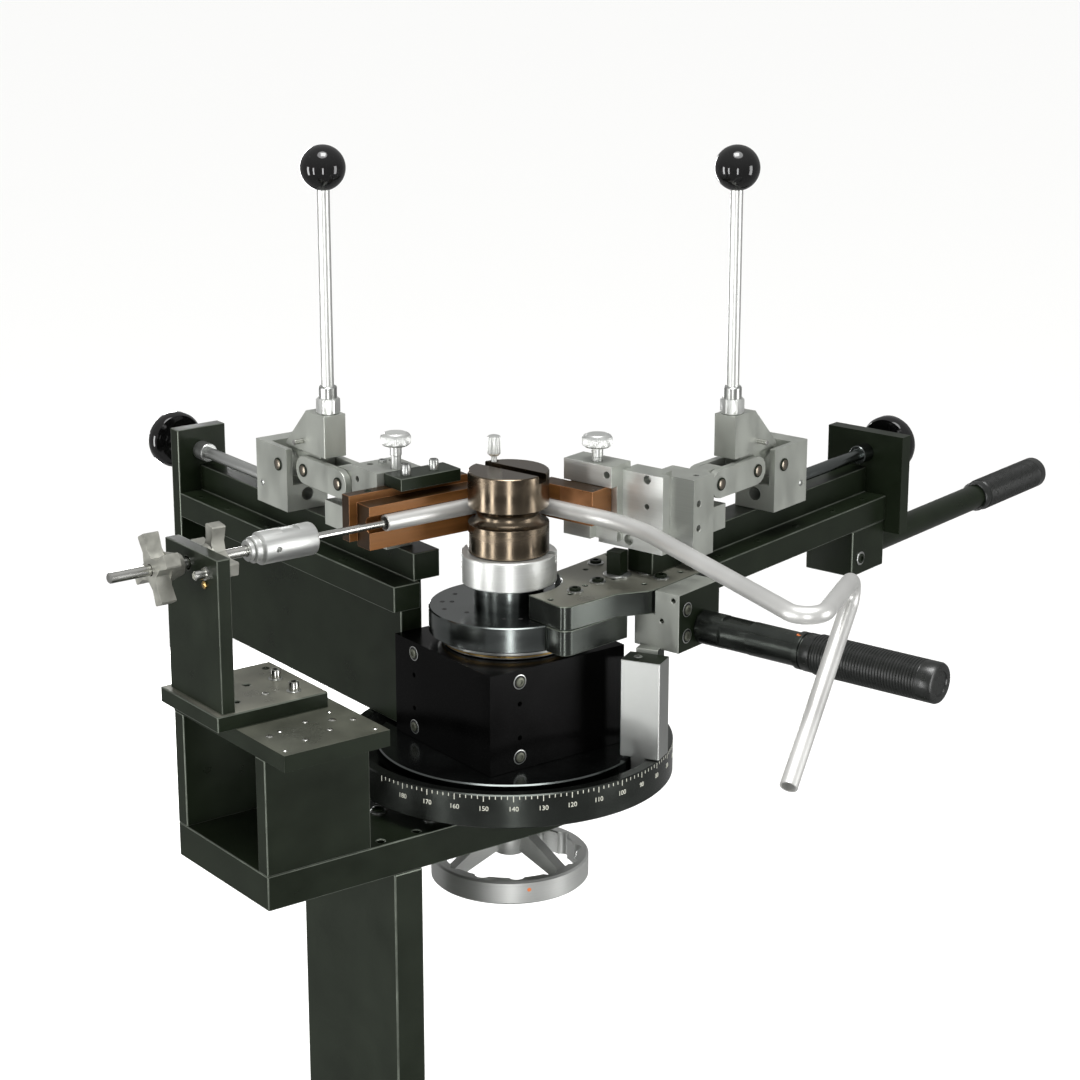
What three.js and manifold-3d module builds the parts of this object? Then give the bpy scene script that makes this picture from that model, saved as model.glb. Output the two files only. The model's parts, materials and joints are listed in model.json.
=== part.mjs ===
// Manual rotary-draw tube bender on a floor pedestal, in millimetres, +Z up.
// The origin is on the bend axis at floor level. +X is the way the tube feeds in, from the
// mandrel bracket to the bend die; +Y is the way the pressure arm points.
// The model stands at the end of a bend: the swing arm rests on its angle stop.

import * as THREE from 'three';
import { mergeVertices } from 'three/addons/utils/BufferGeometryUtils.js';
import Module from 'manifold-3d';

const wasm = await Module();
wasm.setup();

// Driving dimensions ----------------------------------------------------------------------

const GAP = 0.3; // between separate pieces that bear on each other
const BEND_ANGLE = 75; // degrees that the arm has swung from its start
const ARM_HEADING = 90 - BEND_ANGLE; // degrees from +X to the clamp arm

const DIE_TOP = 1050; // height of the bend die's top face above the floor
const TUBE_Z = 1016; // height of the tube's centreline
const BEND_RADIUS = 31.5; // centreline radius of the bend
const TUBE_R = 6.35; // half-inch tube
const BORE_R = 5.1;
const GROOVE_R = 6.75;

const FOOT = { x: 480, y: 420, thick: 16 };
const BEAM = { left: -252, front: -52, back: 78, bottom: 771, top: 798, holeR: 8.5 };
const POST = { left: -143, right: -118 };
const RISER = { right: -163.5, wall: 13, plateBottom: 887.5, plateTop: 900, plateFront: -80 };
const BRACKET = { footLeft: -267, footRight: -174, footFront: -14, footBack: 70, footTop: 912,
  upLeft: -262, upRight: -251, upFront: -12, upBack: 63, upTop: 1028 };

const DISC = { r: 104, necks: 50, bottom: 824, top: 834 };
const RING = { r: 128, inner: 52, channel: 118.5, bottom: 809, floor: 817, top: 835.5 };
const BLOCK = { half: 63.5, top: 914 };
const BEARING = { r: 55, step: 51, top: 922.7 };
const FLANGE = { r: 62, bottom: 923, top: 943 };
const SPINDLE = { journalR: 22, foot: 850, neckR: 27, pilotR: 14.7, top: 1036 };
const SPACER = { r: 37, bottom: 962.3, top: 985.7 };
const PLATE_TOP = 962; // top of the swing arm's upper plate

const RAIL = { bottom: 941, ledgeTop: 962, wayTop: 984, ledgeNear: 22, wayNear: 1, wayFar: 23 };
const PRESSURE = { offset: 60, pivot: 207, plateIn: 367.3, plateOut: 380, railIn: 36, knob: 26 };
const CLAMP = { offset: 80, pivot: 229, plateIn: 385.3, plateOut: 398, railIn: 120.3, knob: 18 };

const TOGGLE = { pinZ: 1022, crank: 28.5, link: 51, pinR: 4.2, linkR: 11.5,
  linkIn: 7.3, linkOut: 13, blockHalf: 19, slotHalf: 13.5, blockTop: 1036.5 };
const LEVER = { rodX: -47, rodR: 5, ballZ: 1265.4, ballR: 17.8, bodyTop: 1071 };
const SCREW = { z: 997, r: 5, collarR: 8, knobR: 24, knobThick: 14 };

const STOP = { angle: -59.5, inner: 96.6, outer: 128.6, half: 10.3, top: 914 };
const FRONT_HANDLE = { u: 78, z: 930.5, start: 127.3, grip: 224, end: 337, r: 13, gripR: 15.5 };
const REAR_HANDLE = { t: 85, z: 917.5, start: 385.3, grip: 568, end: 680, r: 11, gripR: 14 };
const PIN = { u: 12, y: 24, r: 3 };
const DIE_SLOT = { from: -1.7, to: 8.3, depth: 6 };
const STAR = { r: 26, tip: 5.2, waist: 3.8, waistAt: 14, valley: 9.5 };
const STUD_R = 8;
const WHEEL = { r: 62.5, inner: 53, bottom: 718, top: 737, hubTop: 770.7, scallops: 12 };

// Materials -------------------------------------------------------------------------------

const finish = (color, metalness, roughness) =>
  new THREE.MeshStandardMaterial({ color, metalness, roughness });
const BLACK_STEEL = finish(0x1b1f1f, 0.7, 0.45);
const BRIGHT_STEEL = finish(0xb9bcbc, 0.95, 0.3);
const ALUMINIUM = finish(0xaeb2b2, 0.9, 0.42);
const DIE_STEEL = finish(0x8d7462, 0.95, 0.28);
const BRONZE = finish(0x6e4024, 0.75, 0.5);
const TUBE_METAL = finish(0xc6c7c5, 0.85, 0.45);
const GLOSS_BLACK = finish(0x0c0a09, 0.0, 0.15);
const RUBBER = finish(0x121312, 0.0, 0.75);

// Geometry helpers ------------------------------------------------------------------------

// Welds a three.js geometry into an indexed shell that faces outwards.
function weld(geometry) {
  const bare = geometry.clone();
  bare.deleteAttribute('normal');
  bare.deleteAttribute('uv');
  const welded = mergeVertices(bare, 1e-4);
  const at = welded.attributes.position;
  const index = welded.index.array;
  const corners = [];
  let volume = 0;
  const [a, b, c] = [new THREE.Vector3(), new THREE.Vector3(), new THREE.Vector3()];
  for (let i = 0; i < index.length; i += 3) {
    const [p, q, r] = [index[i], index[i + 1], index[i + 2]];
    if (p === q || q === r || r === p) continue;
    corners.push(p, q, r);
    a.fromBufferAttribute(at, p);
    b.fromBufferAttribute(at, q);
    c.fromBufferAttribute(at, r);
    volume += a.dot(b.cross(c));
  }
  if (volume < 0) corners.reverse();
  return { position: Float32Array.from(at.array), corners: Uint32Array.from(corners) };
}

// A manifold-3d solid of a closed three.js geometry.
function solid(geometry) {
  const { position, corners } = weld(geometry);
  return new wasm.Manifold(new wasm.Mesh({ numProp: 3, vertProperties: position, triVerts: corners }));
}

// The three.js geometry of a manifold-3d solid.
function geometryOf(body) {
  const mesh = body.getMesh();
  const geometry = new THREE.BufferGeometry();
  geometry.setAttribute('position', new THREE.BufferAttribute(mesh.vertProperties, 3));
  geometry.setIndex(new THREE.BufferAttribute(mesh.triVerts, 1));
  geometry.computeVertexNormals();
  return geometry;
}

const join = (...bodies) => bodies.reduce((whole, next) => whole.add(next));
const cut = (body, ...tools) => tools.reduce((left, tool) => left.subtract(tool), body);

function box(x0, x1, y0, y1, z0, z1) {
  const geometry = new THREE.BoxGeometry(Math.abs(x1 - x0), Math.abs(y1 - y0), Math.abs(z1 - z0));
  geometry.translate((x0 + x1) / 2, (y0 + y1) / 2, (z0 + z1) / 2);
  return solid(geometry);
}

const turnTo = {
  x: (geometry) => geometry.rotateZ(-Math.PI / 2),
  y: (geometry) => geometry,
  z: (geometry) => geometry.rotateX(Math.PI / 2),
};

// A cylinder along x, y or z, from one coordinate to another, around a centre line.
function rod(axis, from, to, centre, r, sides = 16, r2 = r) {
  const geometry = turnTo[axis](new THREE.CylinderGeometry(r2, r, to - from, sides));
  const middle = (from + to) / 2;
  const at = { x: [middle, ...centre], y: [centre[0], middle, centre[1]], z: [...centre, middle] };
  geometry.translate(...at[axis]);
  return solid(geometry);
}

// A turned piece around +Z from [radius, height] pairs.
function turned(profile, sides = 32) {
  const points = profile.map(([r, z]) => new THREE.Vector2(r, z));
  return solid(turnTo.z(new THREE.LatheGeometry(points, sides)));
}

// A turned piece around +X from [radius, x] pairs, on the line y, z.
function turnedX(profile, y, z, sides = 20) {
  const points = profile.map(([r, x]) => new THREE.Vector2(r, x));
  const geometry = turnTo.x(new THREE.LatheGeometry(points, sides));
  geometry.translate(0, y, z);
  return solid(geometry);
}

// A flat plate: an outline of [x, y] points between two heights.
function plate(outline, z0, z1) {
  const shape = new THREE.Shape(outline.map(([x, y]) => new THREE.Vector2(x, y)));
  const geometry = new THREE.ExtrudeGeometry(shape, { depth: z1 - z0, bevelEnabled: false });
  geometry.translate(0, 0, z0);
  return solid(geometry);
}

// A plate standing in the x-z plane: an outline of [x, z] points between two y values.
function uprightPlate(outline, y0, y1) {
  const shape = new THREE.Shape(outline.map(([x, z]) => new THREE.Vector2(x, z)));
  const geometry = new THREE.ExtrudeGeometry(shape, { depth: y1 - y0, bevelEnabled: false });
  geometry.rotateX(Math.PI / 2);
  geometry.translate(0, y1, 0);
  return solid(geometry);
}

// Points on an arc, from one angle to another, in degrees.
function arc(cx, cy, r, from, to, steps) {
  return Array.from({ length: steps + 1 }, (_, i) => {
    const a = THREE.MathUtils.degToRad(from + ((to - from) * i) / steps);
    return [cx + r * Math.cos(a), cy + r * Math.sin(a)];
  });
}

function add(group, name, body, material) {
  const mesh = new THREE.Mesh(geometryOf(body), material);
  mesh.name = name;
  group.add(mesh);
}

// Pedestal, beam and mandrel bracket ------------------------------------------------------

function pedestal(machine) {
  const { x, y, thick } = FOOT;
  const anchors = [-1, 1].flatMap((i) => [-1, 1].map((j) =>
    rod('z', -1, thick + 1, [i * (x / 2 - 30), j * (y / 2 - 30)], 7, 10)));
  add(machine, 'foot_plate', cut(box(-x / 2, x / 2, -y / 2, y / 2, 0, thick), ...anchors), BLACK_STEEL);

  const post = box(POST.left, POST.right, BEAM.front, BEAM.back, thick, BEAM.bottom);
  add(machine, 'pedestal_post', post, BLACK_STEEL);

  const ribMiddle = (BEAM.front + BEAM.back) / 2;
  const ribOutline = [[POST.right, thick], [120, thick], [120, thick + 30], [POST.right + 40, 440],
    [POST.right, 540]];
  add(machine, 'pedestal_rib', uprightPlate(ribOutline, ribMiddle - 7, ribMiddle + 7), BLACK_STEEL);
}

function beamAndRiser(machine) {
  const { left, front, back, bottom, top, holeR } = BEAM;
  const middle = (front + back) / 2;
  const outline = [[left, back], [left, front], ...arc(0, middle, (back - front) / 2, -90, 90, 12)];
  const beam = cut(plate(outline, bottom, top), rod('z', bottom - 1, top + 1, [0, 0], holeR));
  add(machine, 'base_beam', beam, BLACK_STEEL);

  const { right, wall, plateBottom, plateTop, plateFront } = RISER;
  add(machine, 'riser_front_wall', box(left, right, front, front + wall, top, plateBottom), BLACK_STEEL);
  add(machine, 'riser_back_wall', box(left, right, back - wall, back, top, plateBottom), BLACK_STEEL);
  const holes = [[-186, -38], [-240, -40], [-223, -61], [-198, -54], [-204, -30]].map(([x, y]) =>
    rod('z', plateTop - 8, plateTop + 1, [x, y], 2.6, 8));
  const cover = box(left, right, plateFront, back, plateBottom, plateTop);
  add(machine, 'riser_top_plate', cut(cover, ...holes), BLACK_STEEL);
}

function mandrelBracket(machine) {
  const { footLeft, footRight, footFront, footBack, footTop } = BRACKET;
  const { upLeft, upRight, upFront, upBack, upTop } = BRACKET;
  const holes = [[-239, 7.5], [-213, 10], [-214.5, 34.5], [-190, 34], [-193, 3]].map(([x, y]) =>
    rod('z', footTop - 7, footTop + 1, [x, y], 2.6, 8));
  const foot = box(footLeft, footRight, footFront, footBack, RISER.plateTop, footTop);
  add(machine, 'mandrel_bracket_foot', cut(foot, ...holes), BLACK_STEEL);

  const hole = rod('x', upLeft - 1, upRight + 1, [BEND_RADIUS, TUBE_Z], 5.2);
  const upright = box(upLeft, upRight, upFront, upBack, footTop, upTop);
  add(machine, 'mandrel_bracket_upright', cut(upright, hole), BLACK_STEEL);
}

// A star knob with four arms on the mandrel screw. Its hub faces the bracket upright.
function starKnob(armsFrom, armsTo, hubEnd, turn) {
  const { r, tip, waist, waistAt, valley } = STAR;
  const side = [[waistAt, -waist], [r - 0.9, -tip], [r, -tip + 1], [r, tip - 1], [r - 0.9, tip],
    [waistAt, waist], [valley * Math.SQRT1_2, valley * Math.SQRT1_2]];
  const outline = [0, 90, 180, 270].flatMap((arm) => {
    const a = THREE.MathUtils.degToRad(arm + turn);
    return side.map(([x, y]) => [x * Math.cos(a) - y * Math.sin(a), x * Math.sin(a) + y * Math.cos(a)]);
  });
  const shape = new THREE.Shape(outline.map(([y, z]) => new THREE.Vector2(y, z)));
  const arms = new THREE.ExtrudeGeometry(shape, { depth: armsTo - armsFrom, bevelEnabled: false });
  arms.rotateX(Math.PI / 2).rotateZ(Math.PI / 2);
  arms.translate(armsFrom, BEND_RADIUS, TUBE_Z);
  const [near, far] = hubEnd > armsTo ? [armsTo - 1, hubEnd] : [hubEnd, armsFrom + 1];
  const [rNear, rFar] = hubEnd > armsTo ? [12, 8] : [8, 12];
  const centre = [BEND_RADIUS, TUBE_Z];
  const hub = rod('x', near, far, centre, rNear, 16, rFar);
  return cut(join(solid(arms), hub), rod('x', near - 20, far + 20, centre, 4.5));
}

function mandrel(machine) {
  add(machine, 'star_knob_outer', starKnob(-292, -280, BRACKET.upLeft - 5.5, 63), ALUMINIUM);
  add(machine, 'star_knob_inner', starKnob(-245, -234, BRACKET.upRight + 0.5, 8), ALUMINIUM);

  const rodProfile = [[0, -325], [3.4, -325], [4, -324], [4, -190], [3, -190], [3, -29], [0, -28]];
  const mandrelRod = turnedX(rodProfile, BEND_RADIUS, TUBE_Z, 12);
  add(machine, 'mandrel_rod', mandrelRod, BRIGHT_STEEL);

  const sleeve = [[4.4, -213], [8, -213], [8, -209], [10, -209], [10, -204], [12.4, -203],
    [12.4, -158], [11.6, -157], [3.4, -157], [3.4, -187], [4.4, -187], [4.4, -213]];
  const flat = box(-185, -170, BEND_RADIUS - 20, BEND_RADIUS + 20, TUBE_Z + 10.5, TUBE_Z + 20);
  add(machine, 'mandrel_coupling', cut(turnedX(sleeve, BEND_RADIUS, TUBE_Z), flat), ALUMINIUM);
}

// Turret, dial ring and lock wheel --------------------------------------------------------

function turret(machine) {
  const { r, necks, bottom, top } = DISC;
  const disc = turned([[0, BEAM.top + GAP], [necks, BEAM.top + GAP], [necks, bottom], [r, bottom],
    [r, top], [0, top]], 40);
  const screwHole = rod('z', BEAM.top - 1, top + 1, [0, 0], BEAM.holeR);
  add(machine, 'turret_disc', cut(disc, screwHole), BLACK_STEEL);

  const { half } = BLOCK;
  const bore = SPINDLE.journalR + 0.6;
  const holes = [[844.3, 4.5], [859.7, 2], [886.9, 2], [904.5, 4.5]].map(([z, holeR]) =>
    rod('y', -half - 1, -half + 3, [-36, z], holeR, 10));
  const block = box(-half, half, -half, half, top + GAP, BLOCK.top);
  const shaftHole = rod('z', top, BLOCK.top + 1, [0, 0], bore, 32);
  add(machine, 'turret_block', cut(block, shaftHole, ...holes), BLACK_STEEL);

  const low = BLOCK.top + GAP;
  const bearing = turned([[bore, low], [BEARING.step, low], [BEARING.step, low + 4],
    [BEARING.r, low + 4], [BEARING.r, BEARING.top], [bore, BEARING.top], [bore, low]]);
  add(machine, 'bearing_ring', bearing, BRIGHT_STEEL);
}

function dialRing(machine) {
  const { r, inner, channel, bottom, floor, top } = RING;
  const ring = turned([[inner, bottom], [r, bottom], [r, top], [channel, top], [channel, floor],
    [inner, floor], [inner, bottom]], 56);
  add(machine, 'dial_ring', ring, BLACK_STEEL);

  const { inner: near, outer, half, angle } = STOP;
  const post = box(near, outer, -half, half, top + GAP, STOP.top);
  const key = box(DISC.r + 1.5, channel - 1, -half, half, floor + GAP, top + 1);
  const body = join(post, key).rotate([0, 0, angle]);
  add(machine, 'angle_stop_post', body, BRIGHT_STEEL);
}

function lockWheel(machine) {
  const { r, inner, bottom, top, hubTop, scallops } = WHEEL;
  const rim = turned([[inner, bottom], [r - 1.5, bottom], [r, bottom + 1.5], [r, top - 1.5],
    [r - 1.5, top], [inner, top], [inner, bottom]], 40);
  const dents = Array.from({ length: scallops }, (_, i) => {
    const a = (i * 2 * Math.PI) / scallops;
    return rod('z', bottom - 1, top + 1, [(inner - 2) * Math.cos(a), (inner - 2) * Math.sin(a)], 6.5, 10);
  });
  const webs = [0, 1, 2].map((i) => {
    const outline = [[8, 742], [inner + 4, bottom + 3], [inner + 4, bottom + 11], [14, 764], [8, 764]];
    return uprightPlate(outline, -6, 6).rotate([0, 0, 50 + 120 * i]);
  });
  const hub = rod('z', 738, hubTop, [0, 0], 13, 20, 17);
  const wheel = join(cut(rim, ...dents), hub, ...webs);
  const bore = rod('z', hubTop - 26, hubTop + 1, [0, 0], STUD_R + 0.5);
  add(machine, 'handwheel', cut(wheel, bore), BRIGHT_STEEL);
  add(machine, 'clamp_stud', rod('z', hubTop - 24, DISC.top - 2, [0, 0], STUD_R), BRIGHT_STEEL);
}

// Toggle clamp, shared by both arms -------------------------------------------------------
// Each is drawn in its arm's frame: x runs out from the bend axis, y is across, z is up, and
// the toggle's centre plane is y = middle.

function rearBlock(pivot, middle) {
  const { pinZ, pinR, blockHalf, slotHalf, blockTop } = TOGGLE;
  const [inner, outer] = [pivot - 12.5, pivot + 34.5];
  const body = box(inner, outer, middle - blockHalf, middle + blockHalf, RAIL.wayTop + GAP, blockTop);
  const slot = box(inner - 1, pivot + 19, middle - slotHalf, middle + slotHalf, 1006, blockTop + 1);
  const bore = rod('x', inner - 1, outer + 1, [middle, SCREW.z], SCREW.r + 0.5);
  const pin = rod('y', middle - blockHalf - 0.8, middle + blockHalf + 0.8, [pivot, pinZ], pinR, 12);
  return join(cut(body, slot, bore), pin);
}

function leverBody(pivot, middle) {
  const { pinZ, pinR, crank, slotHalf } = TOGGLE;
  const knuckle = pivot - crank;
  const top = LEVER.bodyTop;
  const head = uprightPlate([[pivot - 56.5, 1036.5], [pivot + 2, 1036.5], [pivot + 2, 1039.5],
    [pivot - 29, top], [pivot - 56.5, top]], middle - 10, middle + 10);
  const web = box(pivot - 45, pivot + 2, middle - 7, middle + 7, pinZ - 8, 1038);
  const boss = rod('y', middle - slotHalf + 0.4, middle + slotHalf - 0.4, [pivot, pinZ], 11.5, 20);
  const eye = rod('y', middle - 7, middle + 7, [knuckle, pinZ], 11, 20);
  const holes = [pivot, knuckle].map((x) => rod('y', middle - 20, middle + 20, [x, pinZ], pinR + 0.3, 12));
  return cut(join(head, web, boss, eye), ...holes);
}

function toggleLink(pivot, middle) {
  const { pinZ, pinR, crank, link, linkR, linkIn, linkOut } = TOGGLE;
  const knuckle = pivot - crank;
  const wrist = knuckle - link;
  const outline = [...arc(knuckle, pinZ, linkR, -90, 90, 8), ...arc(wrist, pinZ, linkR, 90, 270, 8)];
  const sides = [[-linkOut, -linkIn], [linkIn, linkOut]].map(([y0, y1]) =>
    uprightPlate(outline, middle + y0, middle + y1));
  const pins = [knuckle, wrist].map((x) =>
    rod('y', middle - linkOut - 0.8, middle + linkOut + 0.8, [x, pinZ], pinR, 12));
  return join(...sides, ...pins);
}

// The tongue between the link's sides. Its slot lets the wrist pin drift as the toggle folds.
function tongue(pivot, middle, root) {
  const { pinZ, crank, link, linkIn } = TOGGLE;
  const wrist = pivot - crank - link;
  const half = linkIn - 0.4;
  const blade = box(root, wrist + 9.5, middle - half, middle + half, pinZ - 11.5, pinZ + 11.5);
  const slotOutline = [...arc(wrist, pinZ, 6, -90, 90, 6), ...arc(wrist - 4.6, pinZ, 6, 90, 270, 6)];
  return cut(blade, uprightPlate(slotOutline, middle - 10, middle + 10));
}

function leverRod(pivot, middle) {
  const x = pivot + LEVER.rodX;
  const from = LEVER.bodyTop + GAP;
  const nut = rod('z', from, from + 12, [x, middle], 9.6, 6);
  return join(nut, rod('z', from, LEVER.ballZ - 1, [x, middle], LEVER.rodR, 12));
}

function ballKnob(pivot, middle) {
  const { rodX, rodR, ballZ, ballR } = LEVER;
  const ball = new THREE.SphereGeometry(ballR, 16, 10);
  ball.rotateX(Math.PI / 2);
  ball.translate(pivot + rodX, middle, ballZ);
  return cut(solid(ball), rod('z', ballZ - ballR - 2, ballZ, [pivot + rodX, middle], rodR + GAP, 12));
}

function adjustingScrew(arm, middle) {
  const { z, r, collarR } = SCREW;
  const collar = rod('x', arm.plateIn - 14, arm.plateIn - GAP, [middle, z], collarR, 20);
  return join(rod('x', arm.pivot + 5, arm.plateOut + arm.knob + 3, [middle, z], r), collar);
}

// A dished disc knob on a neck, fixed to the end of the adjusting screw.
function screwKnob(arm, middle) {
  const { z, r, knobR, knobThick } = SCREW;
  const at = arm.plateOut;
  const near = at + arm.knob;
  const far = near + knobThick;
  return turnedX([[r + GAP, at + 3], [8.5, at + 3], [8.5, near + 3], [knobR - 6, near + 3],
    [knobR - 3, near], [knobR, near + 3], [knobR, far - 4], [knobR - 4, far], [0, far], [0, near + 4],
    [r + GAP, near + 4], [r + GAP, at + 3]], middle, z, 24);
}

function endPlate(arm, middle, y0, y1, bottom, top) {
  const hole = rod('x', arm.plateIn - 1, arm.plateOut + 1, [middle, SCREW.z], SCREW.r + 0.5);
  return cut(box(arm.plateIn, arm.plateOut, y0, y1, bottom, top), hole);
}

// A turned knob on a short stud that screws down into a jaw.
function thumbScrew(x, y, foot, knob, tall) {
  return turned([[0, foot], [4, foot], [4, knob - 7], [5, knob - 6], [5, knob], [11.8, knob + 2],
    [11.8, knob + tall - 2], [10, knob + tall], [0, knob + tall]], 16).translate([x, y, 0]);
}

function toggle(group, side, arm, middle) {
  add(group, `${side}_rear_block`, rearBlock(arm.pivot, middle), ALUMINIUM);
  add(group, `${side}_lever_body`, leverBody(arm.pivot, middle), ALUMINIUM);
  add(group, `${side}_lever_rod`, leverRod(arm.pivot, middle), BRIGHT_STEEL);
  add(group, `${side}_ball_knob`, ballKnob(arm.pivot, middle), GLOSS_BLACK);
  add(group, `${side}_toggle_link`, toggleLink(arm.pivot, middle), ALUMINIUM);
  add(group, `${side}_lead_screw`, adjustingScrew(arm, middle), BRIGHT_STEEL);
  add(group, `${side}_screw_knob`, screwKnob(arm, middle), GLOSS_BLACK);
}

// Pressure arm: x runs along +Y of the machine and y along -X -------------------------------

function pressureArm(machine) {
  const arm = new THREE.Group();
  arm.rotation.z = Math.PI / 2;
  machine.add(arm);
  const m = PRESSURE.offset;
  const { bottom, ledgeTop, wayTop, ledgeNear, wayNear, wayFar } = RAIL;
  const end = PRESSURE.plateIn - GAP;

  const web = box(BLOCK.half + GAP, end, m - 22, m - 2 - GAP, DISC.top + 2, ledgeTop - GAP);
  add(arm, 'pressure_rail_web', web, BLACK_STEEL);
  const ledge = box(PRESSURE.railIn, end, m - 2, m + ledgeNear, bottom, ledgeTop);
  const way = box(PRESSURE.railIn + 4, end, m - wayFar, m + wayNear, ledgeTop, wayTop);
  add(arm, 'pressure_rail', join(ledge, way), BLACK_STEEL);
  add(arm, 'pressure_end_plate', endPlate(PRESSURE, m, m - 24, m + 22, 915, 1017), BLACK_STEEL);
  toggle(arm, 'pressure', PRESSURE, m);

  const low = wayTop + GAP;
  const carrier = join(
    box(60 + GAP, 96, m - 20, m + 20, 1004, 1046),
    rod('x', 95, 110.5, [m, TOGGLE.pinZ], 8.5, 20),
    box(60 + GAP, 149, m - 12, m + 12, low, 1004.5),
    tongue(PRESSURE.pivot, m, 108),
  );
  const threaded = rod('z', 1030, 1050, [67, m - 2], 4.5);
  add(arm, 'pressure_jaw_carrier', cut(carrier, threaded), ALUMINIUM);

  const groove = rod('y', -2, 114, [BEND_RADIUS, TUBE_Z], GROOVE_R, 20);
  const die = join(box(33, 50.5, 0, 105, 996, 1030), box(50, 60, 3, 112, 1000, 1036));
  add(arm, 'pressure_die', cut(die, groove), BRONZE);
  add(arm, 'pressure_cap_plate', box(36, 60, 19, 74, 1036 + GAP, 1046), BLACK_STEEL);
  add(arm, 'pressure_thumb_screw', thumbScrew(67, m - 2, 1032, 1064, 10), BRIGHT_STEEL);
}

// Swing arm: x runs out along the clamp arm and y against the way the bent tube leaves -------

// An arm plate. Its concave edge clears a round hub; the rest of its outline follows on.
// The edge starts at height yStart on the hub's right and ends at yEnd on its left.
function armPlate(hubR, rest, yStart, yEnd, z0, z1) {
  const from = -180 - THREE.MathUtils.radToDeg(Math.asin(yEnd / hubR));
  const to = THREE.MathUtils.radToDeg(Math.asin(yStart / hubR));
  return plate([...arc(0, 0, hubR, from, to, 10), ...rest], z0, z1);
}

function swingPlates(arm) {
  const corner = arc(-20, -70, 9, 195, 262, 5);
  const upperRest = [[120, -14.8], [120, -103.5], [56, -103.5], [44, -100.6], [23, -86.6],
    ...corner.reverse()];
  const upper = armPlate(41, upperRest, -14.8, -35.7, FLANGE.top + GAP, PLATE_TOP);
  add(arm, 'swing_arm_upper_plate', upper, BLACK_STEEL);

  const lowerRest = [[38, -86], [23, -84], ...corner];
  const lower = armPlate(FLANGE.r + 0.6, lowerRest, -50, -57, FLANGE.bottom, FLANGE.top);
  add(arm, 'swing_arm_lower_plate', lower, BLACK_STEEL);
}

function hubAndDie(arm) {
  const { journalR, foot, neckR, pilotR, top } = SPINDLE;
  const spindle = turned([[0, foot], [journalR, foot], [journalR, FLANGE.bottom],
    [FLANGE.r, FLANGE.bottom], [FLANGE.r, FLANGE.top], [neckR, FLANGE.top], [neckR, PLATE_TOP],
    [pilotR, PLATE_TOP], [pilotR, top], [0, top]]);
  add(arm, 'spindle', spindle, BLACK_STEEL);

  const bore = pilotR + GAP;
  const spacer = turned([[bore, SPACER.bottom], [SPACER.r, SPACER.bottom], [SPACER.r, SPACER.top],
    [bore, SPACER.top], [bore, SPACER.bottom]]);
  add(arm, 'spacer_ring', spacer, ALUMINIUM);

  const rim = BEND_RADIUS - GAP;
  const grooveEdge = arc(BEND_RADIUS, TUBE_Z, GROOVE_R, 267, 93, 6);
  const bottom = SPACER.top + GAP;
  const die = turned([[bore, bottom], [rim, bottom], ...grooveEdge, [rim, DIE_TOP], [0, DIE_TOP],
    [0, top + 2], [bore, top + 2], [bore, bottom]], 36);
  const slot = box(DIE_SLOT.from, DIE_SLOT.to, -40, 40, DIE_TOP - DIE_SLOT.depth, DIE_TOP + 1);
  const pinHole = rod('z', 1032, DIE_TOP + 1, [PIN.u, PIN.y], PIN.r + GAP, 12);
  add(arm, 'bend_die', cut(die, slot, pinHole), DIE_STEEL);
}

function lockPin(arm) {
  const knob = turned([[0, 1034], [PIN.r, 1034], [PIN.r, 1053], [5.6, 1054.5], [5.6, 1069],
    [4.6, 1070.5], [0, 1070.5]], 12);
  add(arm, 'die_lock_pin', knob.translate([PIN.u, PIN.y, 0]), BRIGHT_STEEL);
}

function clampRail(arm) {
  const m = -CLAMP.offset;
  const { bottom, ledgeTop, wayTop, ledgeNear, wayNear, wayFar } = RAIL;
  const end = CLAMP.plateIn - GAP;
  const ledge = box(CLAMP.railIn, end, m - ledgeNear, m + wayFar, bottom, ledgeTop + GAP);
  const way = box(76, end, m - wayNear, m + wayFar, ledgeTop + GAP, wayTop);
  add(arm, 'clamp_rail', join(ledge, way), BLACK_STEEL);
  add(arm, 'clamp_end_plate', endPlate(CLAMP, m, m - 36, m + 38, 930, 1015), BLACK_STEEL);
  toggle(arm, 'clamp', CLAMP, m);
}

function clampJaw(arm) {
  const m = -CLAMP.offset;
  const low = RAIL.wayTop + GAP;
  const carrier = join(
    box(50 + GAP, 75, -60, -14, 1034 + GAP, 1051),
    box(58, 75, -60, -20, 990, 1035),
    box(50 + GAP, 64, -40, -14, 990.5, 1006.7),
    box(65, 73, -98, -37, low, 1046),
    box(72, 104, -78, -45, low, 1040),
    box(103, 130, -100, -60, low, 1036),
    box(103, 130, -100, -83, 972, low + 1),
    box(129, 158, m - 12, m + 12, low, 1004.5),
    tongue(CLAMP.pivot, m, 129),
  );
  const threaded = rod('z', 1040, 1060, [60, -39], 4.5);
  add(arm, 'clamp_jaw_carrier', cut(carrier, threaded), ALUMINIUM);

  const groove = rod('y', -56, -1, [BEND_RADIUS, TUBE_Z], GROOVE_R, 20);
  const die = join(box(33, 50, -55, -2, 1007, 1034), box(49, 57.7, -55, -20 - GAP, 1007, 1034));
  add(arm, 'clamp_die', cut(die, groove), BRONZE);
  add(arm, 'clamp_thumb_screw', thumbScrew(60, -39, 1042, 1062, 10), BRIGHT_STEEL);
}

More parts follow.
